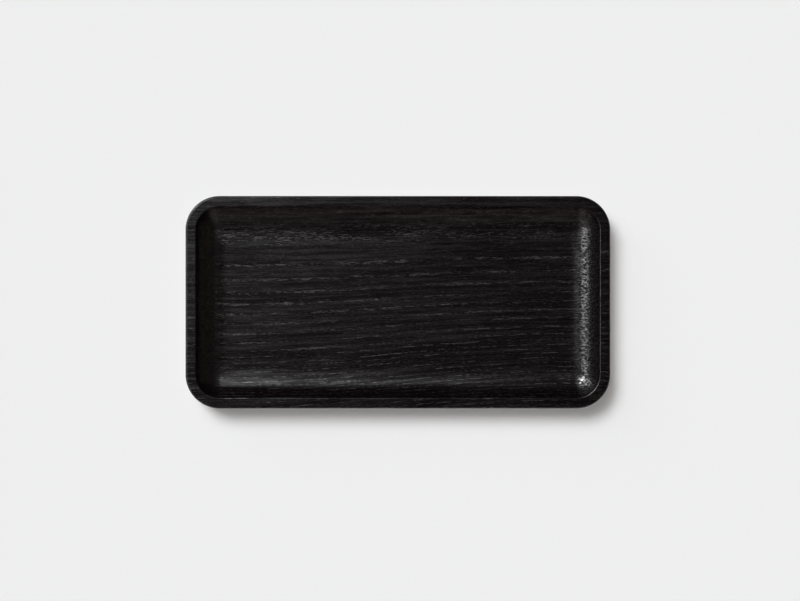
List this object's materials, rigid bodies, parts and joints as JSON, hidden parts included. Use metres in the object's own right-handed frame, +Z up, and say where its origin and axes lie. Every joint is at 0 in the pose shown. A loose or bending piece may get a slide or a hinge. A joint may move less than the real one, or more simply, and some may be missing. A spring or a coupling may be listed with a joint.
{
  "type": "catchall tray",
  "caption": "Low rectangular wooden desk tray with rounded corners, a flat rim and a coved pocket, on inset non-slip feet; holds pens, keys and small things.",
  "frame": {"origin": "under the middle of the tray, on the surface that its feet stand on", "axes": "+X along the length and the grain, +Y towards the rear long side, +Z up out of the pocket"},
  "size_m": [0.2, 0.1, 0.013],
  "materials": {
    "stained_ash": "black stained ring-porous hardwood, open grain, satin oil",
    "foot_rubber": "matt moulded rubber"
  },
  "bodies": {
    "root": {"tray_body": "stained_ash", "foot_front_left": "foot_rubber", "foot_front_right": "foot_rubber", "foot_rear_left": "foot_rubber", "foot_rear_right": "foot_rubber"}
  },
  "joints": []
}
